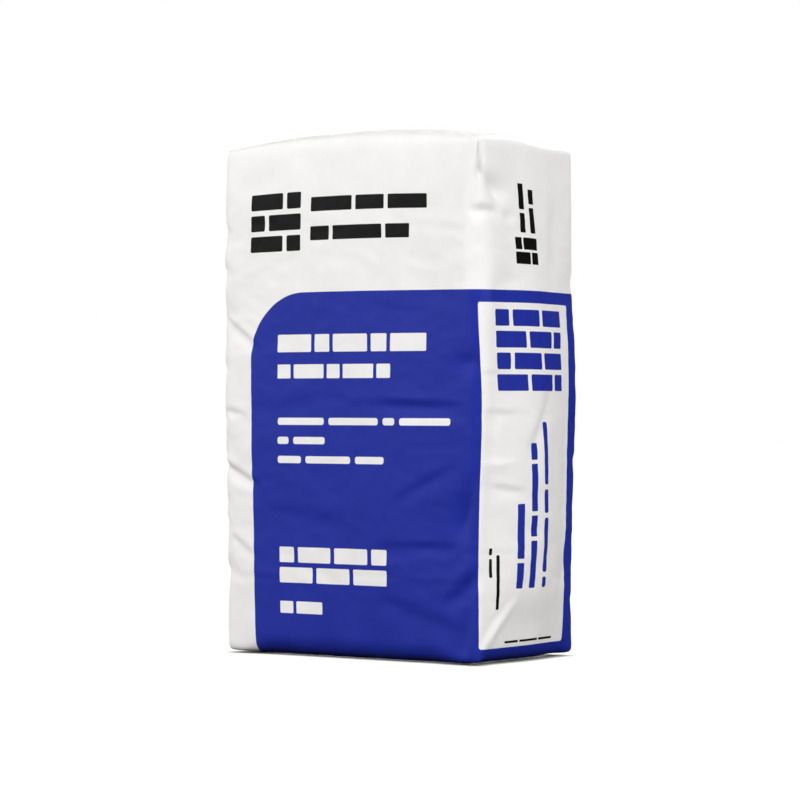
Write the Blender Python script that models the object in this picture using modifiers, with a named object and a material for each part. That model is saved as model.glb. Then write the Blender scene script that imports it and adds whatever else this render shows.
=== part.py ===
"""A filled paper cement sack that stands upright on its block bottom.

The sack is a paper tube closed at both ends by folded block ends, each with a cover patch pasted over it.
A flattened valve sleeve, through which such a sack is filled, lies under the end of the top patch.
Metres, +Z up. The origin is the middle of the footprint, on the floor. The broad faces look along Y.
"""

import math

import bmesh
import bpy

COLLECTION = "cement_sack"

# Driving dimensions of the cage that the filled sack is rounded from, 1 to 3 mm inside it.
SACK_WIDTH = 0.305  # across the broad faces, at their fullest
SACK_DEPTH = 0.158  # across the narrow sides, at their fullest
CORNER_HEIGHT = 0.439  # floor to the upper corners
TOP_HEIGHT = 0.457  # floor to the crown, under the patch

# How the filling shapes the paper.
WAIST_HEIGHT = 0.205  # where the broad faces are fullest
BELLY_HEIGHT = 0.110  # where the narrow sides are fullest
BROAD_BULGE = 0.0035  # a broad face's middle past its upright edges
NARROW_BULGE = 0.0155  # a narrow side's middle past its upright edges
FOOT_DRAW = 0.0020  # the edges draw in this far at the floor
HEAD_DRAW = 0.0010  # and this far at the top
EDGE_RISE = 0.0065  # a broad face's top edge, past the corners
END_RISE = 0.0020  # a narrow side's top edge, past the corners

# Distances from a cage edge to its holding loop: they set how round the edge is.
UPRIGHT_HOLD = 0.018
FOOT_HOLD = 0.012
HEAD_HOLD = 0.012

# Paper, with the clearance that stacked layers keep.
PAPER = 0.0005  # a pasted cover patch
SLEEVE_THICK = 0.0007  # the flattened valve sleeve, two plies
CLEARANCE = 0.0003

PATCH_LENGTH = 0.232
PATCH_WIDTH = 0.116
SLEEVE_WIDTH = 0.096
SLEEVE_LENGTH = 0.066
SLEEVE_MOUTH = -0.122  # where its open end stops, along X
SLEEVE_TAPER = 0.012  # the patch steps up over the sleeve in this length

BODY_ROWS = 5  # cage rows between the holding loops of the foot and the head
CAGE_LEVELS = 2
PATCH_STEP = 0.0065  # spacing of the points in the patch laid over the crown
SLEEVE_STEP = 0.004  # and in the sleeve, which reaches the rounded edge

SACK_FOOT = PAPER + CLEARANCE
EDGE_HALF_WIDTH = SACK_WIDTH / 2 - NARROW_BULGE
EDGE_HALF_DEPTH = SACK_DEPTH / 2 - BROAD_BULGE

PAPER_WHITE = (0.86, 0.86, 0.84, 1.0)
PATCH_WHITE = (0.83, 0.83, 0.80, 1.0)
SLEEVE_BROWN = (0.55, 0.42, 0.27, 1.0)


def clear_scene():
    for thing in list(bpy.data.objects):
        bpy.data.objects.remove(thing, do_unlink=True)


def part_collection():
    collection = bpy.data.collections.new(COLLECTION)
    bpy.context.scene.collection.children.link(collection)
    return collection


def paper_material(name, colour, roughness):
    material = bpy.data.materials.new(name)
    material.use_nodes = True
    shader = material.node_tree.nodes["Principled BSDF"]
    shader.inputs["Base Color"].default_value = colour
    shader.inputs["Roughness"].default_value = roughness
    shader.inputs["Metallic"].default_value = 0.0
    material.diffuse_color = colour
    return material


def new_part(collection, name, mesh, material):
    part = bpy.data.objects.new(name, mesh)
    collection.objects.link(part)
    mesh.materials.append(material)
    mesh.shade_smooth()
    return part


def fullness(height, fullest):
    """How full the sack is at a height: 1 where it is fullest, 0 at the floor and at the upper corners."""
    if height < fullest:
        share = height / fullest
    else:
        share = (CORNER_HEIGHT - height) / (CORNER_HEIGHT - fullest)
    share = min(max(share, 0.0), 1.0)
    return math.sin(share * math.pi / 2)


def edge_draw(height):
    """How far the upright edges stand inside their place at the waist."""
    draw = FOOT_DRAW if height < WAIST_HEIGHT else HEAD_DRAW
    return draw * (1 - fullness(height, WAIST_HEIGHT))


def crown(across, along):
    """The top's height at fractions of the half-width and the half-depth."""
    edge = CORNER_HEIGHT + EDGE_RISE * (1 - across**2) + END_RISE * (1 - along**2)
    middle = TOP_HEIGHT - CORNER_HEIGHT - EDGE_RISE - END_RISE
    return edge + middle * (1 - across**2) * (1 - along**2)


def filled(across, along, height):
    """The place that a point of the straight box takes once the sack is full.

    across and along run from -1 to 1 over the width and the depth, and height is in metres.
    """
    belly = fullness(height, BELLY_HEIGHT) ** 0.7
    half_width = EDGE_HALF_WIDTH - edge_draw(height)
    half_depth = EDGE_HALF_DEPTH - edge_draw(height)
    x = across * (half_width + NARROW_BULGE * belly * (1 - abs(along) ** 1.5))
    y = along * (half_depth + BROAD_BULGE * fullness(height, WAIST_HEIGHT) * (1 - across**2))
    raised = crown(across, along) - CORNER_HEIGHT
    share = (height - SACK_FOOT) / (CORNER_HEIGHT - SACK_FOOT)
    return x, y, height + raised * share**3


def mirrored(places):
    return [-place for place in reversed(places)] + places


def sack_solid(collection, material):
    """A cube cut into a coarse cage, filled out and rounded by subdivision."""
    hold_across = 1 - UPRIGHT_HOLD / EDGE_HALF_WIDTH
    hold_along = 1 - UPRIGHT_HOLD / EDGE_HALF_DEPTH
    body = CORNER_HEIGHT - HEAD_HOLD - SACK_FOOT - FOOT_HOLD
    heights = [SACK_FOOT + FOOT_HOLD + body * row / BODY_ROWS for row in range(BODY_ROWS + 1)]
    mesh = bpy.data.meshes.new("sack")
    cage = bmesh.new()
    bmesh.ops.create_cube(cage, size=2.0)
    for corner in cage.verts:
        corner.co.z = SACK_FOOT if corner.co.z < 0 else CORNER_HEIGHT
    cuts = [((place, 0, 0), (1, 0, 0)) for place in mirrored([hold_across / 3, hold_across])]
    cuts += [((0, place, 0), (0, 1, 0)) for place in (-hold_along, 0, hold_along)]
    cuts += [((0, 0, height), (0, 0, 1)) for height in heights]
    for place, normal in cuts:
        everything = cage.verts[:] + cage.edges[:] + cage.faces[:]
        bmesh.ops.bisect_plane(cage, geom=everything, plane_co=place, plane_no=normal)
    for point in cage.verts:
        point.co = filled(*point.co)
    bmesh.ops.recalc_face_normals(cage, faces=cage.faces)
    cage.to_mesh(mesh)
    cage.free()
    sack = new_part(collection, "sack", mesh, material)
    rounding = sack.modifiers.new("Rounding", "SUBSURF")
    rounding.levels = CAGE_LEVELS
    rounding.render_levels = CAGE_LEVELS
    return sack


def crown_sheet(collection, name, start, length, width, step, material, sack):
    """A sheet laid on the sack's crown, from start along X, centred in Y."""
    columns = round(length / step)
    rows = round(width / step)
    mesh = bpy.data.meshes.new(name)
    grid = bmesh.new()
    bmesh.ops.create_grid(grid, x_segments=columns, y_segments=rows, size=0.5)
    for point in grid.verts:
        point.co.x = start + (point.co.x + 0.5) * length
        point.co.y *= width
        point.co.z = TOP_HEIGHT
    grid.to_mesh(mesh)
    grid.free()
    sheet = new_part(collection, name, mesh, material)
    laid = sheet.modifiers.new("Laid on the crown", "SHRINKWRAP")
    laid.target = sack
    laid.wrap_method = "PROJECT"
    laid.use_project_z = True
    laid.use_negative_direction = True
    laid.use_positive_direction = True
    laid.wrap_mode = "ABOVE_SURFACE"
    laid.offset = CLEARANCE
    return sheet


def thicken(sheet, thickness):
    paper = sheet.modifiers.new("Paper", "SOLIDIFY")
    paper.thickness = thickness
    paper.offset = 1.0


def valve_sleeve(collection, material, sack):
    sleeve = crown_sheet(
        collection,
        "valve_sleeve",
        SLEEVE_MOUTH,
        SLEEVE_LENGTH,
        SLEEVE_WIDTH,
        SLEEVE_STEP,
        material,
        sack,
    )
    thicken(sleeve, SLEEVE_THICK)
    return sleeve


def top_patch(collection, material, sack):
    """The upper cover patch, which steps up where the valve sleeve lies under it."""
    patch = crown_sheet(
        collection,
        "top_patch",
        -PATCH_LENGTH / 2,
        PATCH_LENGTH,
        PATCH_WIDTH,
        PATCH_STEP,
        material,
        sack,
    )
    over_sleeve = patch.vertex_groups.new(name="over_sleeve")
    step_start = SLEEVE_MOUTH + SLEEVE_LENGTH + PATCH_STEP
    for point in patch.data.vertices:
        share = (step_start + SLEEVE_TAPER - point.co.x) / SLEEVE_TAPER
        over_sleeve.add([point.index], min(max(share, 0.0), 1.0), "REPLACE")
    step = patch.modifiers.new("Step over the sleeve", "DISPLACE")
    step.direction = "Z"
    step.mid_level = 0.0
    step.strength = SLEEVE_THICK + CLEARANCE
    step.vertex_group = over_sleeve.name
    thicken(patch, PAPER)
    return patch


def bottom_patch(collection, material):
    """The lower cover patch, flat on the floor under the sack."""
    mesh = bpy.data.meshes.new("bottom_patch")
    plate = bmesh.new()
    bmesh.ops.create_cube(plate, size=1.0)
    for corner in plate.verts:
        corner.co.x *= PATCH_LENGTH
        corner.co.y *= PATCH_WIDTH
        corner.co.z = (corner.co.z + 0.5) * PAPER
    plate.to_mesh(mesh)
    plate.free()
    patch = new_part(collection, "bottom_patch", mesh, material)
    mesh.shade_flat()
    return patch


def main():
    clear_scene()
    collection = part_collection()
    white = paper_material("sack_paper", PAPER_WHITE, 0.45)
    patch_white = paper_material("patch_paper", PATCH_WHITE, 0.55)
    brown = paper_material("sleeve_paper", SLEEVE_BROWN, 0.70)
    sack = sack_solid(collection, white)
    bottom_patch(collection, patch_white)
    valve_sleeve(collection, brown, sack)
    top_patch(collection, patch_white, sack)


main()
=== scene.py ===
"""The looks of a filled paper cement sack: creased white paper, its blue print, its patches and its valve.

Lengths are in metres, +Z is up, and the broad printed front looks along -Y. A place on the paper is given by
its way round the sack, which is 0 in the middle of the front and grows towards +X, and by its height.
"""

import math
import random

import bmesh
import bpy
import numpy as np
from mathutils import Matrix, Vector, noise


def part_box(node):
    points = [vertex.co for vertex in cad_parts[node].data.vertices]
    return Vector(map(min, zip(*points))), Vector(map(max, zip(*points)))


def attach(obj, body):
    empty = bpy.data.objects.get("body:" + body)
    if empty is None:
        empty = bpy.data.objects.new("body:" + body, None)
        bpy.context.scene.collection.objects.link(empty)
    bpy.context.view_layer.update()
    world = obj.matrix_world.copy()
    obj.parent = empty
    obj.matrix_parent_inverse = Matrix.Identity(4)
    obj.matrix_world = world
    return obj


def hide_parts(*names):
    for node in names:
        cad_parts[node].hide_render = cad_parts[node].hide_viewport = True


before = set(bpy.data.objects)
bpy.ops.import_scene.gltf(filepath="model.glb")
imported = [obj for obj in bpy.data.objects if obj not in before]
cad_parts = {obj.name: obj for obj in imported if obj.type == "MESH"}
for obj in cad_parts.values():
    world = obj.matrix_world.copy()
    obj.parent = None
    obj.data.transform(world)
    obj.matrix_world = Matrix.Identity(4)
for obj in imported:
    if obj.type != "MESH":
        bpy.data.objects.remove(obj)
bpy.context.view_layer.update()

bl_info = {
    "name": "Cement sack",
    "version": (1, 0, 0),
    "blender": (4, 5, 0),
    "location": "3D View > Sidebar > Sack",
    "description": "Fills, creases and prints a paper cement sack",
    "category": "Add Mesh",
}

PATCH_LOW, PATCH_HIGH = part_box("top_patch")
BASE_LOW, BASE_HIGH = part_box("bottom_patch")
SLEEVE_LOW, SLEEVE_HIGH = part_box("valve_sleeve")
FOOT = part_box("sack")[0][2]  # the paper tube's lowest height, on top of the bottom patch


def a_length(name, description, default):
    return bpy.props.FloatProperty(name=name, description=description, default=default, unit="LENGTH")


def a_share(name, description, default):
    return bpy.props.FloatProperty(name=name, description=description, default=default, subtype="FACTOR")


def a_colour(name, description, default):
    return bpy.props.FloatVectorProperty(
        name=name, description=description, default=default, size=3, subtype="COLOR"
    )


def a_power(name, default):
    return bpy.props.FloatProperty(name=name, description="Power in watts", default=default, unit="POWER")


class SackSizes(bpy.types.PropertyGroup):
    """The sack's paper and how the filling shapes it."""

    half_width: a_length("Half width", "Middle to an upright edge, along X", 0.1350)
    half_depth: a_length("Half depth", "Middle to an upright edge, along Y", 0.0750)
    corner_height: a_length("Corner height", "Floor to the upper corners", 0.437)
    waist_height: a_length("Waist height", "Floor to where the sack is fullest", 0.205)
    broad_bulge: a_length("Broad bulge", "A broad face's middle past its edges", 0.0035)
    edge_rise: a_length("Edge rise", "A broad face's top edge past its corners", 0.0065)
    end_rise: a_length("End rise", "A narrow side's top edge past its corners", 0.0019)
    crown_rise: a_length("Crown rise", "The top's middle past its edges", 0.0062)
    cell: a_length("Paper cell", "Spacing of the points in the paper", 0.0044)
    gathered: a_share("Gathered", "How much the cells gather at the upright edges", 0.35)
    settling_frames: bpy.props.IntProperty(
        name="Settling frames", description="How long the slack paper is left to buckle", default=22
    )
    deepest_buckle: a_length("Deepest buckle", "Most that the slack paper stands off", 0.0010)
    edge_slack: a_share("Edge slack", "How much too long the paper is near the upright edges", 0.035)
    face_slack: a_share("Face slack", "How much too long it is in the middles of the faces", 0.003)


class PrintColours(bpy.types.PropertyGroup):
    """The paper's colours and inks."""

    paper: a_colour("Paper", "Bleached paper", (0.872, 0.861, 0.844))
    blue: a_colour("Blue ink", "The big panel", (0.0165, 0.0300, 0.325))
    black: a_colour("Black ink", "The dark marks", (0.003, 0.003, 0.003))
    kraft: a_colour("Valve paper", "Unbleached paper", (0.45, 0.31, 0.18))


class StageSizes(bpy.types.PropertyGroup):
    """The camera and the studio light."""

    azimuth: bpy.props.FloatProperty(
        name="Azimuth", description="Camera's turn from the front", default=math.radians(36), subtype="ANGLE"
    )
    distance: a_length("Distance", "Camera to the near upright edge", 2.7416)
    aim: bpy.props.FloatVectorProperty(
        name="Aim",
        description="Point of the view's middle, at eye height",
        default=(0.08258, -0.11309, 0.2216),
        size=3,
        subtype="TRANSLATION",
    )
    lens: bpy.props.FloatProperty(
        name="Lens", description="Focal length in millimetres", default=148.5, unit="CAMERA"
    )
    key_power: a_power("Key light", 100.0)
    left_power: a_power("Left light", 100.0)
    right_power: a_power("Right light", 190.0)
    far_left_power: a_power("Far left light", 85.0)
    back_power: a_power("Back light", 190.0)
    ambient: bpy.props.FloatProperty(name="Ambient", description="Light from all round", default=0.070)


def deselect_all():
    bpy.ops.object.select_all(action="DESELECT")


def added_box(name, low, high):
    """A cube primitive at its size and place, with its object at the origin."""
    deselect_all()
    middle = [(a + b) / 2 for a, b in zip(low, high)]
    bpy.ops.mesh.primitive_cube_add(size=1, location=middle, scale=[b - a for a, b in zip(low, high)])
    bpy.ops.object.transform_apply(location=True, rotation=True, scale=True)
    piece = bpy.context.object
    piece.name = name
    piece.data.name = name
    return piece


def cut_along(piece, axis, pieces):
    """Divides every edge that runs along an axis into equal lengths."""
    bpy.ops.object.mode_set(mode="EDIT")
    bpy.ops.mesh.select_mode(type="EDGE")
    bpy.ops.mesh.select_all(action="DESELECT")
    cage = bmesh.from_edit_mesh(piece.data)
    for edge in cage.edges:
        way = edge.verts[1].co - edge.verts[0].co
        edge.select = abs(way[axis]) > 0.9 * way.length
    bmesh.update_edit_mesh(piece.data)
    bpy.ops.mesh.subdivide(number_cuts=pieces - 1)
    bpy.ops.object.mode_set(mode="OBJECT")


def apply_modifier(piece, kind, **settings):
    modifier = piece.modifiers.new(kind.title(), kind)
    for name, value in settings.items():
        setattr(modifier, name, value)
    bpy.context.view_layer.objects.active = piece
    bpy.ops.object.modifier_apply(modifier=modifier.name)


def numbers_of(items, field, size=3, kind=float):
    """One field of all the items of a mesh, a row for each."""
    found = np.empty(len(items) * size, kind)
    items.foreach_get(field, found)
    return found.reshape(-1, size)


def points_of(mesh):
    return numbers_of(mesh.vertices, "co")


def set_points(mesh, points):
    mesh.vertices.foreach_set("co", points.astype(np.float32).ravel())
    mesh.update()


def normals_of(mesh):
    return numbers_of(mesh.vertex_normals, "vector")


def gather_at_edges(mesh, half_sizes, share):
    """Moves the cuts of a straight box towards its edges, where the paper creases most."""
    points = points_of(mesh)
    for axis, half in enumerate(half_sizes):
        place = points[:, axis] / half
        points[:, axis] = half * ((1 - share) * place + share * np.sin(place * np.pi / 2))
    set_points(mesh, points)


def keep_box_places(mesh):
    """Stores where each point lies on the straight, empty sack."""
    places = mesh.attributes.new("box_place", "FLOAT_VECTOR", "POINT")
    places.data.foreach_set("vector", points_of(mesh).astype(np.float32).ravel())


def box_places(mesh):
    return numbers_of(mesh.attributes["box_place"].data, "vector")


def smooth_step(low, high, value):
    """0 up to low, 1 from high on, and a smooth rise between them."""
    share = np.clip((value - low) / (high - low), 0, 1)
    return share * share * (3 - 2 * share)


def girth_of(sizes):
    return 4 * (sizes.half_width + sizes.half_depth)


def around_paper(x, y, sizes):
    """The way round the sack of points on its straight box."""
    width, depth = sizes.half_width, sizes.half_depth
    on_side = width - np.abs(x) < depth - np.abs(y)
    front = np.where(y < 0, x, width + 2 * depth + (width - x))
    right = width + (y + depth)
    left = -(width + (y + depth))
    return np.where(on_side, np.where(x > 0, right, left), front)


class Corners:
    """Heights and edge radii at the four upright edges, blended over the faces between them."""

    def __init__(self, front_left, front_right, back_left, back_right):
        self.values = (front_left, front_right, back_left, back_right)

    def at(self, across, along):
        blend = 0.4
        left, back = smooth_step(blend, -blend, across), smooth_step(-blend, blend, along)
        front_left, front_right, back_left, back_right = self.values
        front = left * front_left + (1 - left) * front_right
        rear = left * back_left + (1 - left) * back_right
        return (1 - back) * front + back * rear


# Radii of the upright edges at a few heights, from the foot up.
EDGE_HEIGHTS = (0.0, 0.05, 0.15, 0.28, 0.33, 0.40, 0.425, 0.437)
FRONT_LEFT_RADII = (0.0045, 0.007, 0.009, 0.009, 0.009, 0.008, 0.005, 0.0035)
FRONT_RIGHT_RADII = (0.0045, 0.009, 0.011, 0.012, 0.020, 0.017, 0.007, 0.004)
BACK_RADII = (0.0045, 0.009, 0.012, 0.012, 0.012, 0.010, 0.006, 0.0035)

# Radii of the level edges: a corner's, and what the middles of the edges have.
HEAD_CORNER_RADIUS, HEAD_RADIUS = 0.0035, 0.0095
NARROW_END = 0.97  # share of the half width past which the head's edge is the narrow side's
FOOT_RADIUS = 0.0045
FOOT_ROLL = Corners(0.012, 0.011, 0.010, 0.009)  # added to it away from the corners
BROAD_ROLL = (0.012, 0.055)  # from the upright edges, where the roll starts and where it is full
NARROW_ROLL = (0.002, 0.018)

# How the level edges and the faces leave the straight box.
CORNER_LIFTS = Corners(0.0048, 0.0048, -0.0015, 0.0008)
FOOT_LIFTS = Corners(0.0012, 0.0014, 0.0020, 0.0020)
FOOT_DRAW, HEAD_DRAW = 0.0022, 0.0012  # how far the broad faces draw in at the foot and the head
SHOULDER = 0.0016  # how far the upper faces lean in
SHOULDER_HEIGHT = 0.045  # how far below the corners that starts
RIDGE_ROUNDING = 0.01  # how blunt the narrow sides' middle is

# How far each narrow side's edges stand outside their place on the straight sack, by height.
SWELL_HEIGHTS = (0.0, 0.03, 0.08, 0.14, 0.20, 0.26, 0.32, 0.38, 0.437)
LEFT_SWELL = (-0.0005, 0.0, 0.0004, 0.0022, 0.0032, 0.0040, 0.0054, 0.0034, 0.0022)
RIGHT_SWELL = (-0.0015, -0.0010, -0.0008, 0.0008, 0.0038, 0.0040, 0.0030, 0.0006, -0.0020)

# How far a narrow side's middle stands outside its edges, by height.
BULGE_HEIGHTS = (0.0, 0.025, 0.050, 0.09, 0.14, 0.20, 0.26, 0.31, 0.37, 0.437)
NARROW_BULGE = (0.003, 0.0105, 0.0165, 0.0180, 0.0168, 0.0135, 0.0112, 0.0085, 0.0055, 0.002)
LEFT_SHARE = 0.65  # of that, on the left side


LOWEST, HIGHEST, STEP = -0.05, 0.50, 0.001  # heights that a profile is drawn at
BLUR, REACH = 12, 40  # in steps: how much it is smoothed, and how far that reaches


def profile(height, heights, values):
    """A smooth run of values by height through a few given ones."""
    fine = np.linspace(LOWEST, HIGHEST, round((HIGHEST - LOWEST) / STEP) + 1)
    kernel = np.exp(-0.5 * (np.arange(-REACH, REACH + 1) / BLUR) ** 2)
    padded = np.pad(np.interp(fine, heights, values), REACH, mode="edge")
    return np.interp(height, fine, np.convolve(padded, kernel / kernel.sum(), "valid"))


def rounded_box(x, y, z, sizes):
    """Rounds the edges of the straight box."""
    across, along = x / sizes.half_width, y / sizes.half_depth
    radii = (FRONT_LEFT_RADII, FRONT_RIGHT_RADII, BACK_RADII, BACK_RADII)
    upright = Corners(*[profile(z, EDGE_HEIGHTS, values) for values in radii]).at(across, along)
    on_broad = smooth_step(*BROAD_ROLL, sizes.half_width - np.abs(x))
    on_narrow = smooth_step(*NARROW_ROLL, sizes.half_depth - np.abs(y))
    roll = FOOT_ROLL.at(across, along) * np.maximum(on_broad, on_narrow)
    middling = np.where(np.abs(across) < NARROW_END, 1 - across**4, 1 - np.maximum(across**4, along**4))
    head = HEAD_CORNER_RADIUS + (HEAD_RADIUS - HEAD_CORNER_RADIUS) * np.clip(middling, 0, 1)
    above = z > sizes.waist_height
    level = np.where(above, head, FOOT_RADIUS + roll)
    sideways = np.where(above, upright, upright + roll)
    points = np.stack([x, y, z], 1)
    radii = np.stack([sideways, sideways, level], 1)
    low = np.array([-sizes.half_width, -sizes.half_depth, FOOT]) + radii
    high = np.array([sizes.half_width, sizes.half_depth, sizes.corner_height]) - radii
    inner = np.clip(points, low, high)
    outward = (points - inner) / radii
    outward /= np.linalg.norm(outward, axis=1, keepdims=True)
    return inner + radii * outward


def filled_sack(x, y, z, sizes):
    """The place that a point of the straight box takes once the sack is full."""
    x, y, z = rounded_box(x, y, z, sizes).T
    waist, head = sizes.waist_height, sizes.corner_height
    share = np.where(z < waist, z / waist, (head - z) / (head - waist))
    full = np.sin(np.clip(share, 0, 1) * np.pi / 2)
    draw = np.where(z < waist, FOOT_DRAW, HEAD_DRAW) * (1 - full)
    across, along = x / sizes.half_width, y / sizes.half_depth
    left, right = profile(z, SWELL_HEIGHTS, LEFT_SWELL), profile(z, SWELL_HEIGHTS, RIGHT_SWELL)
    swell = np.where(across > 0, right, left) * smooth_step(0, 1, abs(across))
    bulge = profile(z, BULGE_HEIGHTS, NARROW_BULGE)
    ridge = 0.5 * (1 - np.sqrt(along**2 + RIDGE_ROUNDING)) + 0.25 * (1 + np.cos(np.pi * along))
    filled_x = across * (sizes.half_width + swell + bulge * ridge * np.where(across > 0, 1, LEFT_SHARE))
    draw = draw + SHOULDER * smooth_step(head - SHOULDER_HEIGHT, head, z)
    filled_y = along * (sizes.half_depth - draw + sizes.broad_bulge * full * (1 - across**2))
    rise, lift = CORNER_LIFTS.at(across, along), FOOT_LIFTS.at(across, along)
    across, along = np.abs(across), np.abs(along)
    rise = rise + sizes.edge_rise * (1 - across**1.9) + sizes.end_rise * (1 - along**2)
    rise = rise + sizes.crown_rise * (1 - across**2.8) * (1 - along**1.6)
    share = (z - FOOT) / (head - FOOT)
    filled_z = z + rise * share**6 + lift * across**3 * (1 - share) ** 12
    return np.stack([filled_x, filled_y, filled_z], 1)


def way_past(across, start, girth):
    """How far round the sack one place lies past another, by the shorter way."""
    return (across - start + girth / 2) % girth - girth / 2


class Crease:
    """A mark pressed into the paper: across and up are its middle, and turn is its angle from level."""

    def __init__(self, across, up, turn, depth):
        self.across, self.up = across, up
        self.turn, self.depth = math.radians(turn), depth

    def ways(self, across, up, girth):
        """How far places lie along the crease and off it."""
        level, upright = way_past(across, self.across, girth), up - self.up
        cosine, sine = math.cos(self.turn), math.sin(self.turn)
        return level * cosine + upright * sine, upright * cosine - level * sine


BLUNT_ENDS = 0.25  # how bluntly a fold ends
SHARPNESS = 1.3  # of a crisp valley
LIP_HEIGHT = 1.2  # at a lean of 1


class Fold(Crease):
    """A straight valley with one lip higher than the other; a negative depth makes a ridge.

    lean is how much higher that lip is, and crisp how sharp the valley is. deepest is where along its length
    it is deepest, from 0 to 1.
    """

    def __init__(self, across, up, length, turn, width, depth, lean=0.5, crisp=0.5, deepest=0.5):
        super().__init__(across, up, turn, depth)
        self.length, self.width = length, width
        self.lean, self.crisp, self.deepest = lean, crisp, deepest

    def push(self, across, up, girth):
        run, off = self.ways(across, up, girth)
        along = np.clip((run / (self.length / 2) + 1) / 2, 0, 1)
        off = off / self.width
        start, finish = 2 * self.deepest + BLUNT_ENDS, 2 * (1 - self.deepest) + BLUNT_ENDS
        top = start / (start + finish)
        taper = (along / top) ** start * ((1 - along) / (1 - top)) ** finish
        valley = (1 - self.crisp) * np.exp(-(off**2)) + self.crisp * np.exp(-SHARPNESS * abs(off))
        lip = off * np.exp(-(off**2) / 2)
        return self.depth * taper * (self.lean * LIP_HEIGHT * lip - valley)


class Dent(Crease):
    """A soft hollow, wider one way than the other; a negative depth makes a swelling."""

    def __init__(self, across, up, wide, tall, depth, turn=0.0):
        super().__init__(across, up, turn, depth)
        self.wide, self.tall = wide, tall

    def push(self, across, up, girth):
        run, off = self.ways(across, up, girth)
        return -self.depth * np.exp(-((run / self.wide) ** 2) - (off / self.tall) ** 2)


class Lap:
    """The pasted overlap that closes the tube: a step up at its edge that dies away behind it."""

    def __init__(self, edge, behind, height):
        self.edge, self.behind, self.height = edge, behind, height

    def push(self, across, up, girth):
        past = way_past(across, self.edge, girth)
        step, flat = 0.0012, 0.004
        return self.height * smooth_step(-step, step, past) * (1 - smooth_step(flat, self.behind, past))


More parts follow.
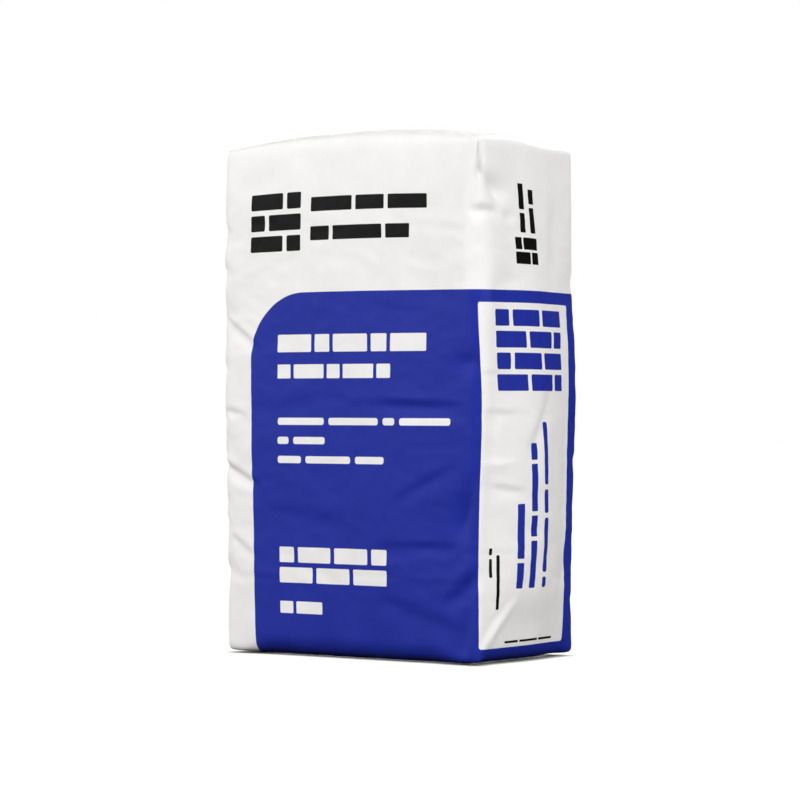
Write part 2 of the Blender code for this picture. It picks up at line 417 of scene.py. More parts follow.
def seen_folds(sizes):
    """The creases of the front and the right side, given one by one."""
    left, near = -sizes.half_width, sizes.half_width
    return [
        # Left margin of the front, from the top down.
        Dent(left - 0.004, 0.290, 0.020, 0.034, 0.0012),
        Dent(left + 0.010, 0.296, 0.012, 0.007, 0.0012, -40),
        Fold(left + 0.016, 0.284, 0.060, -36, 0.0040, 0.0024, 0.6, 0.8, 0.65),
        Fold(left + 0.014, 0.2110, 0.036, -10, 0.0028, 0.0012, 0.7, 0.8, 0.4),
        Dent(left + 0.006, 0.183, 0.008, 0.012, 0.0012, 30),
        Fold(left + 0.016, 0.158, 0.064, -24, 0.0042, 0.0030, 0.7, 0.7, 0.45),
        Dent(left + 0.012, 0.162, 0.013, 0.005, 0.0012, -15),
        Dent(left + 0.003, 0.132, 0.005, 0.008, 0.0018),
        Dent(left + 0.006, 0.110, 0.005, 0.005, 0.0008),
        Fold(left + 0.020, 0.095, 0.034, -36, 0.0038, 0.0015, 0.6, 0.6, 0.4),
        # Upper front.
        Dent(-0.083, 0.407, 0.020, 0.010, 0.0012, 20),
        Dent(-0.047, 0.419, 0.014, 0.009, 0.0012, -20),
        Fold(-0.020, 0.412, 0.090, 28, 0.0080, 0.0006, 0.4, 0.3),
        Dent(0.086, 0.340, 0.034, 0.060, 0.0016, -10),
        Dent(0.100, 0.404, 0.026, 0.030, 0.0010, 20),
        Dent(-0.010, 0.456, 0.170, 0.028, 0.0042),
        # The near upper corner and the edge under it.
        Fold(near + 0.004, 0.424, 0.056, 84, 0.0036, 0.0064, 0.2, 0.2, 0.7),
        Dent(near + 0.004, 0.408, 0.006, 0.006, 0.0022),
        Fold(near + 0.016, 0.402, 0.052, -38, 0.0064, 0.0030, 0.4, 0.2, 0.6),
        Dent(near + 0.028, 0.394, 0.014, 0.010, 0.0026, -20),
        Fold(near + 0.010, 0.378, 0.046, 0, 0.0042, 0.0030, 0.3, 0.2),
        Dent(near + 0.040, 0.374, 0.008, 0.006, 0.0018),
        Dent(near + 0.142, 0.325, 0.022, 0.045, 0.0020),
        Dent(near + 0.038, 0.321, 0.020, 0.008, 0.0012, 12),
        # Right part of the front's panel.
        Dent(near - 0.013, 0.2520, 0.012, 0.008, 0.0026),
        Fold(0.068, 0.2175, 0.110, -1, 0.0044, 0.0016, 0.9, 0.5, 0.6),
        Fold(0.078, 0.150, 0.085, 25, 0.0055, 0.0010, 0.7, 0.4),
        Fold(near - 0.010, 0.137, 0.064, 76, 0.0062, 0.0024, -0.4, 0.3, 0.3),
        Dent(near - 0.014, 0.124, 0.012, 0.020, 0.0028),
        Fold(0.076, 0.0980, 0.100, 2, 0.0050, 0.0012, 0.9, 0.4, 0.5),
        Fold(near - 0.016, 0.064, 0.056, 40, 0.0066, 0.0030, 0.7, 0.3, 0.6),
        Fold(near - 0.012, 0.032, 0.075, 82, 0.0070, 0.0022, -0.4, 0.3, 0.4),
        Fold(0.075, 0.040, 0.120, -18, 0.0080, 0.0010, 0.6, 0.3),
        # Left half of the panel: long soft ones.
        Fold(-0.040, 0.120, 0.120, -8, 0.0100, 0.0009, 0.6, 0.2),
        Fold(-0.060, 0.215, 0.100, 6, 0.0100, 0.0007, 0.6, 0.2),
        # The right side, from the near edge: short level folds, then the tuck above the foot.
        Dent(near + 0.046, 0.150, 0.032, 0.090, -0.0046, -4),
        Dent(near + 0.034, 0.075, 0.022, 0.046, -0.0026, -12),
        Fold(near + 0.018, 0.2440, 0.036, 0, 0.0026, 0.0007, 0.9, 0.8, 0.3),
        Fold(near + 0.028, 0.2110, 0.050, -1, 0.0030, 0.0010, 0.9, 0.7, 0.3),
        Fold(near + 0.070, 0.2050, 0.085, 58, 0.0062, 0.0018, 0.4, 0.3, 0.4),
        Fold(near + 0.024, 0.1690, 0.046, 4, 0.0040, -0.0013, 0.3, 0.5, 0.4),
        Fold(near + 0.030, 0.1470, 0.040, -8, 0.0036, 0.0014, 0.7, 0.6, 0.5),
        Dent(near + 0.052, 0.1120, 0.020, 0.007, 0.0007, 8),
        Fold(near + 0.024, 0.0360, 0.070, 50, 0.0036, -0.0024, 0.7, 0.8, 0.35),
        Dent(near + 0.066, 0.0340, 0.030, 0.020, 0.0022, 10),
        Fold(near + 0.118, 0.1500, 0.200, 88, 0.0080, 0.0012, 0.4, 0.2),
        Fold(near + 0.126, 0.0900, 0.060, 70, 0.0050, 0.0014, 0.4, 0.3),
        Fold(near + 0.105, 0.3600, 0.110, 80, 0.0090, 0.0010, 0.5, 0.2),
    ]


def unseen_folds(sizes, seed=11):
    """Creases of the same kinds strewn over the back and the left side, a few of them long and deep."""
    draw = random.Random(seed)
    near, depth = sizes.half_width, sizes.half_depth
    found = []
    for edge, ways in ((near + 2 * depth, (1,)), (3 * near + 2 * depth, (-1, 1)), (-near, (-1,))):
        height = draw.uniform(0.03, 0.08)
        while height < 0.39:
            inward = draw.choice(ways)
            size = draw.random() ** 2
            found.append(
                Fold(
                    across=edge + inward * (0.010 + 0.018 * size),
                    up=height,
                    length=0.032 + 0.060 * size,
                    turn=inward * draw.uniform(-42, 22),
                    width=0.0040 + 0.0040 * size,
                    depth=0.0008 + 0.0018 * size,
                    lean=draw.uniform(0.4, 0.9),
                    crisp=draw.uniform(0.2, 0.7),
                    deepest=0.5 - inward * 0.2,
                )
            )
            height += draw.uniform(0.016, 0.085)
    for _ in range(10):
        found.append(
            Fold(
                across=near + 2 * depth + draw.uniform(0.04, 0.23),
                up=draw.uniform(0.05, 0.38),
                length=draw.uniform(0.05, 0.11),
                turn=draw.uniform(-35, 35),
                width=draw.uniform(0.007, 0.011),
                depth=draw.uniform(0.0006, 0.0014),
                lean=0.6,
                crisp=0.2,
            )
        )
    found.append(Lap(edge=near + 2 * depth + 0.075, behind=0.030, height=0.0007))
    return found


def end_folds(sizes):
    """The block end's tucks: a line from each corner, slanting in under the patch."""
    found = []
    inward = 0.017
    for side in (-1, 1):
        for face in (-1, 1):
            across, along = side * (sizes.half_width - inward), face * (sizes.half_depth - inward)
            found.append(Fold(across, along, 0.055, side * face * 45, width=0.0022, depth=0.0006, lean=0.9))
    return found


def crumple(points, scale, seed):
    """Smooth noise between -1 and 1 at each point, for undulations of about that size."""
    shift = Vector((seed * 3.7, seed * 1.9, seed * 5.3))
    return np.array([noise.noise(Vector(point) / scale + shift) for point in points])


UNDULATIONS = ((0.085, 0.0009), (0.038, 0.00045), (0.016, 0.00018))  # how long and how high
RIM_FADE = 0.008  # how far the tube's creases run on over the block ends
TUCK_START = 0.004  # how far in from their rim the ends' tucks are full
FOOT_FADE = 0.012  # how far above the foot all creases are full
TOUCH = 0.0001  # how near to an end's height a point counts as on it


def creased(mesh, sizes):
    """Presses the folds, dents and undulations into the filled paper."""
    x, y, z = box_places(mesh).T
    girth = girth_of(sizes)
    around = around_paper(x, y, sizes)
    rim = np.minimum(sizes.half_width - np.abs(x), sizes.half_depth - np.abs(y))
    on_end = (z > sizes.corner_height - TOUCH) | (z < FOOT + TOUCH)
    tube = sum(fold.push(around, z, girth) for fold in seen_folds(sizes) + unseen_folds(sizes))
    ends = sum(fold.push(x, y, girth) for fold in end_folds(sizes))
    over_rim = tube * np.exp(-((rim / RIM_FADE) ** 2)) + ends * smooth_step(0, TUCK_START, rim)
    push = np.where(on_end, over_rim, tube)
    points = points_of(mesh)
    for seed, (length, height) in enumerate(UNDULATIONS, start=1):
        push = push + crumple(points, length, seed) * height
    push = push * smooth_step(FOOT, FOOT + FOOT_FADE, points[:, 2])
    set_points(mesh, points + normals_of(mesh) * push[:, None])


def evened(mesh, values, rounds):
    """Averages a value over neighbouring points a number of times."""
    first, second = numbers_of(mesh.edges, "vertices", 2, np.int32).T
    size = len(values)
    count = np.bincount(first, minlength=size) + np.bincount(second, minlength=size)
    for _ in range(rounds):
        total = np.bincount(first, values[second], size) + np.bincount(second, values[first], size)
        values = (values + total / count) / 2
    return values


SLACK_REACH = 0.045  # how far from the upright edges the paper is slack
SLACK_PATCH = 0.06  # size of the places where it is
HELD_REACH = 0.03  # how far from the foot and the head the filling holds it fast
LEAST_HOLD = 0.35  # how fast it holds it elsewhere
START_RIPPLE, START_RIPPLE_SIZE = 0.0003, 0.02  # what the buckles grow from
LONG_WAVE_ROUNDS = 60  # rounds of averaging after which only the long waves are left


def settled(piece, sizes):
    """Lets the paper buckle where it is too long for the filling, most of all near the upright edges."""
    mesh = piece.data
    x, y, z = box_places(mesh).T
    filled = points_of(mesh)
    outward = normals_of(mesh)
    corner = np.hypot(sizes.half_width - np.abs(x), sizes.half_depth - np.abs(y))
    patchy = smooth_step(-0.15, 0.45, crumple(filled, SLACK_PATCH, seed=7))
    near_edge = np.exp(-((corner / SLACK_REACH) ** 2)) * patchy
    near_end = np.exp(-((np.minimum(z - FOOT, sizes.corner_height - z) / HELD_REACH) ** 2))
    slack = piece.vertex_groups.new(name="slack")
    hold = piece.vertex_groups.new(name="hold")
    for index, (edge, end) in enumerate(zip(near_edge, near_end)):
        slack.add([index], float(edge), "REPLACE")
        hold.add([index], float(min(1.0, LEAST_HOLD + (1 - LEAST_HOLD) * end)), "REPLACE")
    ripple = crumple(filled, START_RIPPLE_SIZE, seed=5) * START_RIPPLE
    set_points(mesh, filled + outward * ripple[:, None])
    cloth = piece.modifiers.new("Settling", "CLOTH")
    paper = cloth.settings
    paper.quality = 6
    paper.mass = 0.12
    paper.tension_stiffness = paper.compression_stiffness = 80
    paper.shear_stiffness = 40
    paper.bending_stiffness = 4
    paper.vertex_group_mass = hold.name
    paper.pin_stiffness = 1.0
    paper.vertex_group_shrink = slack.name
    paper.shrink_min = -sizes.face_slack
    paper.shrink_max = -sizes.edge_slack
    paper.effector_weights.gravity = 0
    cloth.collision_settings.use_collision = False
    cloth.point_cache.frame_end = sizes.settling_frames
    for number in range(1, sizes.settling_frames + 1):
        bpy.context.scene.frame_set(number)
    bpy.ops.object.modifier_apply(modifier=cloth.name)
    bpy.context.scene.frame_set(1)
    piece.vertex_groups.clear()
    buckled = ((points_of(mesh) - filled) * outward).sum(1)
    buckled -= evened(mesh, buckled, LONG_WAVE_ROUNDS)
    buckled = sizes.deepest_buckle * np.tanh(buckled / sizes.deepest_buckle)
    set_points(mesh, filled + outward * buckled[:, None])


END_ROW = 0.47  # where the block ends' maps start, above the tube's
END_GAP = 0.02
ASKEW = 0.0045  # how far the paper slid round the near upright edge as it filled
ASKEW_HEIGHTS = (0.215, 0.300)  # where that starts and where it is full
ASKEW_REACH = 0.020
BAKE_MARGIN = 0.01


def paper_map(mesh, sizes):
    """Lays the tube out flat as the print sheet, in metres, with the two block ends above it."""
    width, depth = sizes.half_width, sizes.half_depth
    totals = numbers_of(mesh.polygons, "loop_total", 1, np.int32).ravel()
    facing = np.repeat(numbers_of(mesh.polygons, "normal"), totals, axis=0)
    corners = numbers_of(mesh.loops, "vertex_index", 1, np.int32).ravel()
    x, y, z = points_of(mesh)[corners].T
    places = [
        (facing[:, 1] < -0.5, x, z),
        (facing[:, 0] > 0.5, width + y + depth, z),
        (facing[:, 1] > 0.5, 3 * width + 2 * depth - x, z),
        (facing[:, 0] < -0.5, -width - y - depth, z),
        (facing[:, 2] > 0.5, x, END_ROW + y + depth),
        (facing[:, 2] < -0.5, x + 2 * width + END_GAP, END_ROW + y + depth),
    ]
    across, up = np.zeros(len(x)), np.zeros(len(x))
    for chosen, u, v in places:
        across = np.where(chosen, u, across)
        up = np.where(chosen, v, up)
    askew = smooth_step(*ASKEW_HEIGHTS, z) * np.exp(-(((across - width) / ASKEW_REACH) ** 2))
    across = across + ASKEW * askew * (up < END_ROW)
    sheet = mesh.uv_layers[0] if mesh.uv_layers else mesh.uv_layers.new()
    sheet.name = "print_sheet"
    sheet.data.foreach_set("uv", np.stack([across, up], 1).astype(np.float32).ravel())
    baked = mesh.uv_layers.new(name="OFBake")
    scale = (1 - 2 * BAKE_MARGIN) / girth_of(sizes)
    places = np.stack([across + width + 2 * depth, up], 1) * scale + BAKE_MARGIN
    baked.data.foreach_set("uv", places.astype(np.float32).ravel())


class Nodes:
    """Short ways to make and join the nodes of one tree."""

    def __init__(self, tree):
        self.tree = tree

    def node(self, kind, **settings):
        made = self.tree.nodes.new(kind)
        for name, value in settings.items():
            setattr(made, name, value)
        return made

    def feed(self, socket, value):
        if isinstance(value, bpy.types.NodeSocket):
            self.tree.links.new(value, socket)
        else:
            socket.default_value = value

    def math(self, operation, first, second):
        made = self.node("ShaderNodeMath", operation=operation)
        self.feed(made.inputs[0], first)
        self.feed(made.inputs[1], second)
        return made.outputs[0]

    def vector(self, operation, first, second=(0.0, 0.0, 0.0)):
        made = self.node("ShaderNodeVectorMath", operation=operation)
        self.feed(made.inputs[0], first)
        self.feed(made.inputs[1], second)
        return made.outputs["Value" if operation == "LENGTH" else "Vector"]

    def noise(self, place, scale, detail=2.0, roughness=0.5):
        made = self.node("ShaderNodeTexNoise")
        self.feed(made.inputs["Vector"], place)
        made.inputs["Scale"].default_value = scale
        made.inputs["Detail"].default_value = detail
        made.inputs["Roughness"].default_value = roughness
        return made.outputs[0]

    def spread(self, value, low, high, to_low, to_high):
        made = self.node("ShaderNodeMapRange")
        self.feed(made.inputs["Value"], value)
        ends = {"From Min": low, "From Max": high, "To Min": to_low, "To Max": to_high}
        for name, number in ends.items():
            made.inputs[name].default_value = number
        return made.outputs[0]

    def mix(self, share, first, second):
        made = self.node("ShaderNodeMix", data_type="RGBA")
        self.feed(made.inputs["Factor"], share)
        self.feed(made.inputs["A"], first)
        self.feed(made.inputs["B"], second)
        return made.outputs["Result"]


INK_EDGE = 0.00012  # how soft an ink's edge is
INKED_BOX = "Inked box"


def inked_box_group():
    """A node group: 1 inside a rectangle with round corners on the print sheet, 0 outside."""
    if INKED_BOX in bpy.data.node_groups:
        return bpy.data.node_groups[INKED_BOX]
    tree = bpy.data.node_groups.new(INKED_BOX, "ShaderNodeTree")
    for name in ("Place", "Middle", "Half size less radius"):
        tree.interface.new_socket(name, in_out="INPUT", socket_type="NodeSocketVector")
    tree.interface.new_socket("Radius", in_out="INPUT", socket_type="NodeSocketFloat")
    tree.interface.new_socket("Ink", in_out="OUTPUT", socket_type="NodeSocketFloat")
    nodes = Nodes(tree)
    given = nodes.node("NodeGroupInput").outputs
    off = nodes.vector("ABSOLUTE", nodes.vector("SUBTRACT", given["Place"], given["Middle"]))
    past = nodes.vector("MAXIMUM", nodes.vector("SUBTRACT", off, given["Half size less radius"]))
    outside = nodes.math("SUBTRACT", nodes.vector("LENGTH", past), given["Radius"])
    ink = nodes.spread(outside, -INK_EDGE, INK_EDGE, 1.0, 0.0)
    nodes.feed(nodes.node("NodeGroupOutput").inputs["Ink"], ink)
    return tree


class Box:
    """A printed rectangle: left, foot, right and head on the print sheet, with round corners."""

    def __init__(self, left, foot, right, head, radius=0.0008):
        self.middle = ((left + right) / 2, (foot + head) / 2, 0.0)
        self.half = ((right - left) / 2 - radius, (head - foot) / 2 - radius, 1.0)
        self.radius = radius

    def ink(self, nodes, place):
        made = nodes.node("ShaderNodeGroup")
        made.node_tree = inked_box_group()
        nodes.feed(made.inputs["Place"], place)
        made.inputs["Middle"].default_value = self.middle
        made.inputs["Half size less radius"].default_value = self.half
        made.inputs["Radius"].default_value = self.radius
        return made.outputs["Ink"]


def inked(nodes, place, boxes):
    """1 inside any of the boxes, 0 elsewhere."""
    total = boxes[0].ink(nodes, place)
    for box in boxes[1:]:
        total = nodes.math("MAXIMUM", total, box.ink(nodes, place))
    return total


def brick_bond(left, foot, width, height, courses, joint, per_course=2.0):
    """Courses of bricks with staggered joints, as boxes: the plain sign for masonry."""
    boxes = []
    tall = (height - (courses - 1) * joint) / courses
    brick = (width - (per_course - 1) * joint) / per_course
    for course in range(courses):
        low = foot + course * (tall + joint)
        start = left - (course % 2) * (brick + joint) / 2
        while start < left + width - joint:
            end = min(start + brick, left + width)
            begin = max(start, left)
            if end - begin > joint:
                boxes.append(Box(begin, low, end, low + tall, joint / 3))
            start += brick + joint
    return boxes


ROUND_END = 0.35  # a bar's corner radius as a share of its height, unless one is given


def word_bars(left, foot, height, lengths, gap, radius=0.0):
    """A line of plain bars as long as words."""
    boxes = []
    for length in lengths:
        boxes.append(Box(left, foot, left + length, foot + height, radius or height * ROUND_END))
        left += length + gap
    return boxes


def standing_bars(right, foot, width, lengths, gap, radius=0.0):
    """The same, turned to run up the narrow side."""
    boxes = []
    for length in lengths:
        boxes.append(Box(right - width, foot, right, foot + length, radius or width * ROUND_END))
        foot += length + gap
    return boxes


PANEL_HEAD = 0.3131  # the blue panel's top edge
PANEL_FOOT = -0.2  # below the sheet, so that its lower corners aren't seen
PANEL_MARGIN = 0.033  # white paper left of it
PANEL_RADIUS = 0.056
INSET_FOOT, INSET_HEAD = 0.0128, 0.3027  # the white panel on the narrow side
INSET_START, INSET_WIDTH = 0.0014, 0.1252  # past the near edge
INSET_RADIUS = 0.0022
END_SPARE = 0.01  # how far the blue under the sack runs past the block end's map
SIDE_FOOT = 0.0631  # foot of the lines of bars on the narrow side

# Lines of bars that the panel leaves white: foot, height, lengths, gap and, where it is given, radius.
PANEL_LINES_LEFT = -0.0735
PANEL_LINES = (
    (0.2625, 0.0150, (0.036, 0.016, 0.036, 0.016, 0.036), 0.0038, 0.0012),
    (0.2400, 0.0120, (0.014, 0.032, 0.014, 0.032, 0.014), 0.0034, 0.0010),
    (0.2000, 0.0062, (0.050, 0.052, 0.012, 0.050), 0.0050),
    (0.1835, 0.0062, (0.012, 0.034), 0.0050),
    (0.1670, 0.0062, (0.025, 0.048, 0.030), 0.0050),
    (0.0370, 0.0105, (0.014, 0.028), 0.0034, 0.0010),
)


def blue_inks(nodes, place, sizes):
    """The big panel, what is printed on its white inset, and the blue under the sack."""
    near, depth = sizes.half_width, sizes.half_depth
    start = -near + PANEL_MARGIN
    end = 3 * near + 2 * depth - PANEL_MARGIN
    panel = Box(start, PANEL_FOOT, end, PANEL_HEAD, PANEL_RADIUS).ink(nodes, place)
    inset_left = near + INSET_START
    inset = Box(inset_left, INSET_FOOT, inset_left + INSET_WIDTH, INSET_HEAD, INSET_RADIUS).ink(nodes, place)
    boxes = brick_bond(near + 0.0195, 0.2291, 0.091, 0.068, 4, 0.0042, 2.5)
    boxes += standing_bars(near + 0.0468, SIDE_FOOT, 0.0074, (0.022, 0.046), 0.0034, 0.0008)
    boxes += standing_bars(near + 0.0618, SIDE_FOOT, 0.0074, (0.040, 0.018, 0.040, 0.014), 0.0034, 0.0008)
    boxes += standing_bars(near + 0.0773, SIDE_FOOT, 0.0060, (0.009, 0.046, 0.020, 0.053), 0.0040)
    under_left, under_right = start + 2 * near + END_GAP, 3 * near + END_GAP + END_SPARE
    boxes.append(Box(under_left, END_ROW - END_SPARE, under_right, END_ROW + 2 * depth + END_SPARE))
    around_inset = nodes.math("MULTIPLY", panel, nodes.math("SUBTRACT", 1.0, inset))
    return nodes.math("MAXIMUM", around_inset, inked(nodes, place, boxes))


def white_inks(nodes, place):
    """Unprinted bars and blocks that the panel leaves white."""
    boxes = brick_bond(PANEL_LINES_LEFT, 0.0635, 0.1150, 0.0310, 2, 0.0042, 3.0)
    for line in PANEL_LINES:
        boxes += word_bars(PANEL_LINES_LEFT, *line)
    return inked(nodes, place, boxes)


def black_inks(nodes, place, sizes):
    """The dark marks over the panel and on the narrow side."""
    near = sizes.half_width
    boxes = brick_bond(-0.1035, 0.3480, 0.0530, 0.0480, 3, 0.0042, 1.5)
    boxes += word_bars(-0.0400, 0.3795, 0.0115, (0.044, 0.030, 0.040), 0.0040, 0.0010)
    boxes += word_bars(-0.0400, 0.3560, 0.0115, (0.020, 0.052, 0.024), 0.0040, 0.0010)
    boxes += brick_bond(near + 0.0465, 0.3350, 0.0300, 0.0220, 2, 0.0020, 1.5)
    boxes += standing_bars(near + 0.0615, 0.3610, 0.0070, (0.016, 0.021), 0.0030, 0.0007)
    boxes += standing_bars(near + 0.0755, 0.3610, 0.0070, (0.021, 0.012), 0.0030, 0.0007)
    boxes += standing_bars(near + 0.0155, 0.0730, 0.0030, (0.016, 0.006), 0.0030)
    boxes += standing_bars(near + 0.0225, 0.0460, 0.0030, (0.046,), 0.0030)
    boxes += word_bars(near + 0.0340, 0.0165, 0.0020, (0.018, 0.026, 0.024), 0.0020)
    return inked(nodes, place, boxes)


def new_material(name, colour):
    material = bpy.data.materials.new(name)
    material.use_nodes = True
    material.diffuse_color = (*colour, 1.0)
    return material, Nodes(material.node_tree), material.node_tree.nodes["Principled BSDF"]


CRINKLE = 0.000030  # height of the paper's small crinkles


def finish_paper(nodes, shader, place, roughness, gloss, fibre):
    """Sets the shine between two roughnesses, and the paper's fibres and small crinkles as bump."""
    uneven = nodes.noise(place, scale=300.0)
    nodes.feed(shader.inputs["Roughness"], nodes.spread(uneven, 0.3, 0.7, *roughness))
    shader.inputs["Specular IOR Level"].default_value = gloss
    fine = nodes.math("MULTIPLY", nodes.noise(place, scale=1400.0, detail=3.0, roughness=0.6), fibre)
    small = nodes.math("MULTIPLY", nodes.noise(place, scale=160.0, detail=3.0, roughness=0.55), CRINKLE)
    bump = nodes.node("ShaderNodeBump")
    bump.inputs["Strength"].default_value = 1.0
    bump.inputs["Distance"].default_value = 1.0
    nodes.feed(bump.inputs["Height"], nodes.math("ADD", fine, small))
    nodes.feed(shader.inputs["Normal"], bump.outputs[0])


def mottled(nodes, place, colour, amount):
    """A paper colour with faint clouds in it."""
    clouds = nodes.noise(place, scale=45.0, detail=4.0, roughness=0.6)
    darker = tuple(part * (1 - amount) for part in colour)
    return nodes.mix(nodes.spread(clouds, 0.35, 0.65, 0.0, 1.0), (*darker, 1.0), (*colour, 1.0))


def printed_paper(colours, sizes):
    material, nodes, shader = new_material("printed_sack_paper", colours.paper)
    sheet = nodes.node("ShaderNodeUVMap", uv_map="print_sheet").outputs[0]
    place = nodes.node("ShaderNodeTexCoord").outputs["Object"]
    blue = blue_inks(nodes, sheet, sizes)
    white = white_inks(nodes, sheet)
    black = black_inks(nodes, sheet, sizes)
    blue = nodes.math("MULTIPLY", blue, nodes.math("SUBTRACT", 1.0, white))
    paper = mottled(nodes, place, colours.paper, 0.035)
    colour = nodes.mix(blue, paper, mottled(nodes, place, colours.blue, 0.06))
    colour = nodes.mix(black, colour, (*colours.black, 1.0))
    nodes.feed(shader.inputs["Base Color"], colour)
    finish_paper(nodes, shader, place, roughness=(0.46, 0.56), gloss=0.08, fibre=0.000008)
    return material


def plain_paper(name, colour, roughness):
    material, nodes, shader = new_material(name, colour)
    place = nodes.node("ShaderNodeTexCoord").outputs["Object"]
    nodes.feed(shader.inputs["Base Color"], mottled(nodes, place, colour, 0.05))
    finish_paper(nodes, shader, place, roughness, gloss=0.3, fibre=0.000015)
    return material


class SACK_OT_fill_paper(bpy.types.Operator):
    """Folds the printed tube, fills it and creases it"""

    bl_idname = "sack.fill_paper"
    bl_label = "Fill the paper sack"

    def execute(self, context):
        sizes = context.scene.sack_sizes
        width, depth = sizes.half_width, sizes.half_depth
        piece = added_box("sack_paper", (-width, -depth, FOOT), (width, depth, sizes.corner_height))
        for axis, length in enumerate((2 * width, 2 * depth, sizes.corner_height - FOOT)):
            cut_along(piece, axis, round(length / sizes.cell))
        mesh = piece.data
        gather_at_edges(mesh, (width, depth), sizes.gathered)
        keep_box_places(mesh)
        paper_map(mesh, sizes)
        set_points(mesh, filled_sack(*box_places(mesh).T, sizes))
        settled(piece, sizes)
        apply_modifier(piece, "SUBSURF", levels=1, render_levels=1, uv_smooth="NONE")
        creased(mesh, sizes)
        mesh.shade_smooth()
        mesh.materials.append(printed_paper(context.scene.sack_colours, sizes))
        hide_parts("sack")
        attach(piece, "root")
        return {"FINISHED"}


SHEET_CELL = 0.002  # spacing of the points in the sheets laid on the top
SHEET_LIFT = 0.00005  # how far above the sack they lie
SHEET_START = 0.02  # how far over the top they are laid down from
BASE_CELL = 0.004
SLEEVE_THICKNESS, PATCH_THICKNESS = 0.0005, 0.0003
OVER_SLEEVE = 0.0006  # how far the top patch rises over the sleeve
STEP_LENGTH, STEP_WIDTH = 0.009, 0.005  # how far past the sleeve's end and sides it comes down again
PATCH_SHADE = 0.97  # the patches' paper against the tube's


def laid_sheet(name, low, high):
    """A grid laid on the sack's top."""
    deselect_all()
    size = [high[axis] - low[axis] for axis in (0, 1)]
    middle = [(low[axis] + high[axis]) / 2 for axis in (0, 1)] + [high[2] + SHEET_START]
    bpy.ops.mesh.primitive_grid_add(
        x_subdivisions=round(size[0] / SHEET_CELL),
        y_subdivisions=round(size[1] / SHEET_CELL),
        size=1,
        location=middle,
    )
    sheet = bpy.context.object
    sheet.name = sheet.data.name = name
    sheet.scale = (*size, 1.0)
    bpy.ops.object.transform_apply(location=True, rotation=True, scale=True)
    apply_modifier(
        sheet,
        "SHRINKWRAP",
        target=bpy.data.objects["sack_paper"],
        wrap_method="PROJECT",
        use_project_z=True,
        use_negative_direction=True,
        use_positive_direction=False,
        wrap_mode="ABOVE_SURFACE",
        offset=SHEET_LIFT,
    )
    return sheet


class SACK_OT_lay_valve(bpy.types.Operator):
    """Lays the flattened valve sleeve on the top's left end"""

    bl_idname = "sack.lay_valve"
    bl_label = "Lay the valve sleeve"

    def execute(self, context):
        piece = laid_sheet("sleeve_paper", SLEEVE_LOW, SLEEVE_HIGH)
        apply_modifier(piece, "SOLIDIFY", thickness=SLEEVE_THICKNESS, offset=1.0)
        piece.data.shade_smooth()
        kraft = plain_paper("kraft_sleeve_paper", context.scene.sack_colours.kraft, roughness=(0.62, 0.75))
        piece.data.materials.append(kraft)
        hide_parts("valve_sleeve")
        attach(piece, "root")
        return {"FINISHED"}


class SACK_OT_lay_patches(bpy.types.Operator):
    """Lays the cover patches on the two block ends"""

    bl_idname = "sack.lay_patches"
    bl_label = "Lay the cover patches"

    def execute(self, context):
        colour = [part * PATCH_SHADE for part in context.scene.sack_colours.paper]
        paper = plain_paper("patch_paper", colour, roughness=(0.55, 0.66))
        top = laid_sheet("top_patch_paper", PATCH_LOW, PATCH_HIGH)
        points = points_of(top.data)
        end, side = SLEEVE_HIGH[0], SLEEVE_HIGH[1]
        over = 1 - smooth_step(end, end + STEP_LENGTH, points[:, 0])
        over = over * (1 - smooth_step(side, side + STEP_WIDTH, np.abs(points[:, 1])))
        points[:, 2] += OVER_SLEEVE * over
        set_points(top.data, points)
        apply_modifier(top, "SOLIDIFY", thickness=PATCH_THICKNESS, offset=1.0)
        base = added_box("bottom_patch_paper", BASE_LOW, BASE_HIGH)
        for axis, low, high in zip((0, 1), BASE_LOW, BASE_HIGH):
            cut_along(base, axis, round((high - low) / BASE_CELL))
        for piece, node in ((top, "top_patch"), (base, "bottom_patch")):
            piece.data.materials.append(paper)
            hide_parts(node)
            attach(piece, "root")
        top.data.shade_smooth()
        return {"FINISHED"}


FLOOR_SIZE = 24.0
FLOOR_GREY = 0.06  # what the floor reflects, besides its own glow
SHADOW_REACH, SHADOW_DEPTH = 0.009, 1.2  # how wide and how dark the contact shadow painted into the floor's glow is

# Azimuth and elevation of each light, in degrees to the right of the front and above the floor.
LIGHTS = {
    "key": (15, 38),
    "left": (-25, 15),
    "right": (80, 15),
    "far_left": (-60, 15),
    "back": (190, 35),
}
LIGHT_TARGET = (0, 0, 0.25)
LIGHT_DISTANCE, LIGHT_SIZE = 5.0, 2.2


def studio_floor():
    """A pale floor that glows white to the camera, with a soft contact shadow painted into that glow by
    ambient occlusion.
    """
    deselect_all()
    bpy.ops.mesh.primitive_plane_add(size=FLOOR_SIZE, location=(0, 0, 0))
    floor = bpy.context.object
    floor.name = "studio_floor"
    material = bpy.data.materials.new("studio_floor")
    material.use_nodes = True
    tree = material.node_tree
    tree.nodes.clear()
    nodes = Nodes(tree)
    matte = nodes.node("ShaderNodeBsdfDiffuse")
    matte.inputs["Color"].default_value = (FLOOR_GREY, FLOOR_GREY, FLOOR_GREY, 1.0)
    open_share = nodes.node("ShaderNodeAmbientOcclusion", samples=8)
    open_share.inputs["Distance"].default_value = SHADOW_REACH
    glow = nodes.node("ShaderNodeEmission")
    ray = nodes.node("ShaderNodeLightPath").outputs["Is Camera Ray"]
    # Painted shadow: the camera-only glow is darkened where ambient occlusion finds the sack close by, which
    # paints the contact shadow.
    painted_shadow_glow = nodes.math("POWER", open_share.outputs["AO"], SHADOW_DEPTH)
    nodes.feed(glow.inputs["Strength"], nodes.math("MULTIPLY", ray, painted_shadow_glow))
    added = nodes.node("ShaderNodeAddShader")
    nodes.feed(added.inputs[0], matte.outputs[0])
    nodes.feed(added.inputs[1], glow.outputs[0])
    nodes.feed(nodes.node("ShaderNodeOutputMaterial").inputs[0], added.outputs[0])
    floor.data.materials.append(material)


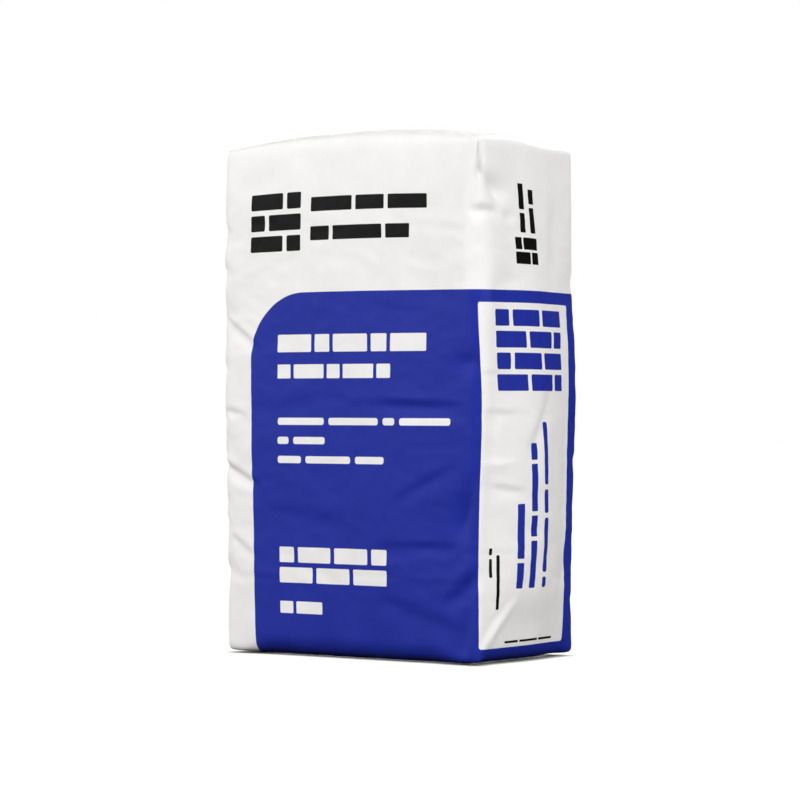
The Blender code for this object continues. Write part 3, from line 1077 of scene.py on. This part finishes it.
def studio_world(ambient):
    world = bpy.data.worlds.new("studio")
    world.use_nodes = True
    tree = world.node_tree
    tree.nodes.clear()
    nodes = Nodes(tree)
    ray = nodes.node("ShaderNodeLightPath").outputs["Is Camera Ray"]
    sky = nodes.node("ShaderNodeBackground")
    sky.inputs["Color"].default_value = (1.0, 1.0, 1.0, 1.0)
    split = nodes.node("ShaderNodeSeparateXYZ")
    nodes.feed(split.inputs[0], nodes.node("ShaderNodeTexCoord").outputs["Generated"])
    dome = nodes.spread(split.outputs["Z"], 0.0, 1.0, ambient, ambient * 0.5)
    plain = nodes.math("ADD", nodes.math("MULTIPLY", dome, nodes.math("SUBTRACT", 1.0, ray)), ray)
    nodes.feed(sky.inputs["Strength"], plain)
    nodes.feed(nodes.node("ShaderNodeOutputWorld").inputs[0], sky.outputs[0])
    bpy.context.scene.world = world


def soft_light(name, azimuth, elevation, power):
    """A square soft box aimed at the sack's middle."""
    turn, rise = math.radians(azimuth), math.radians(elevation)
    towards = Vector((math.sin(turn) * math.cos(rise), -math.cos(turn) * math.cos(rise), math.sin(rise)))
    deselect_all()
    bpy.ops.object.light_add(type="AREA", location=Vector(LIGHT_TARGET) + towards * LIGHT_DISTANCE)
    light = bpy.context.object
    light.name = name
    light.data.shape = "SQUARE"
    light.data.size = LIGHT_SIZE
    light.data.energy = power
    light.rotation_euler = towards.to_track_quat("Z", "Y").to_euler()


class SACK_OT_set_stage(bpy.types.Operator):
    """Sets the floor, the soft studio light and the camera"""

    bl_idname = "sack.set_stage"
    bl_label = "Set the stage"

    def execute(self, context):
        stage = context.scene.sack_stage
        studio_floor()
        studio_world(stage.ambient)
        for name, (azimuth, elevation) in LIGHTS.items():
            soft_light(f"{name}_light", azimuth, elevation, getattr(stage, f"{name}_power"))
        turn = stage.azimuth
        ahead = Vector((-math.sin(turn), math.cos(turn), 0))
        place = Vector(stage.aim) - ahead * stage.distance
        deselect_all()
        bpy.ops.object.camera_add(location=place, rotation=(math.pi / 2, 0, turn))
        camera = context.object
        camera.data.lens = stage.lens
        camera.data.sensor_width = 36.0
        context.scene.camera = camera
        context.scene.view_settings.view_transform = "Standard"
        return {"FINISHED"}


class SACK_PT_panel(bpy.types.Panel):
    """Lists the steps that make the sack"""

    bl_idname = "SACK_PT_panel"
    bl_label = "Cement sack"
    bl_space_type = "VIEW_3D"
    bl_region_type = "UI"
    bl_category = "Sack"

    def draw(self, context):
        for group in (context.scene.sack_sizes, context.scene.sack_colours, context.scene.sack_stage):
            column = self.layout.column(align=True)
            for name in group.__annotations__:
                column.prop(group, name)
        for operator in OPERATORS:
            self.layout.operator(operator.bl_idname)


GROUPS = {"sack_sizes": SackSizes, "sack_colours": PrintColours, "sack_stage": StageSizes}
OPERATORS = (SACK_OT_set_stage, SACK_OT_fill_paper, SACK_OT_lay_valve, SACK_OT_lay_patches)


def register():
    for group in GROUPS.values():
        bpy.utils.register_class(group)
    for name, group in GROUPS.items():
        setattr(bpy.types.Scene, name, bpy.props.PointerProperty(type=group))
    for operator in OPERATORS:
        bpy.utils.register_class(operator)
    bpy.utils.register_class(SACK_PT_panel)


def unregister():
    bpy.utils.unregister_class(SACK_PT_panel)
    for operator in reversed(OPERATORS):
        bpy.utils.unregister_class(operator)
    for name, group in GROUPS.items():
        delattr(bpy.types.Scene, name)
        bpy.utils.unregister_class(group)


def main():
    register()
    bpy.ops.sack.set_stage()
    bpy.ops.sack.fill_paper()
    bpy.ops.sack.lay_valve()
    bpy.ops.sack.lay_patches()


if __name__ == "__main__":
    main()
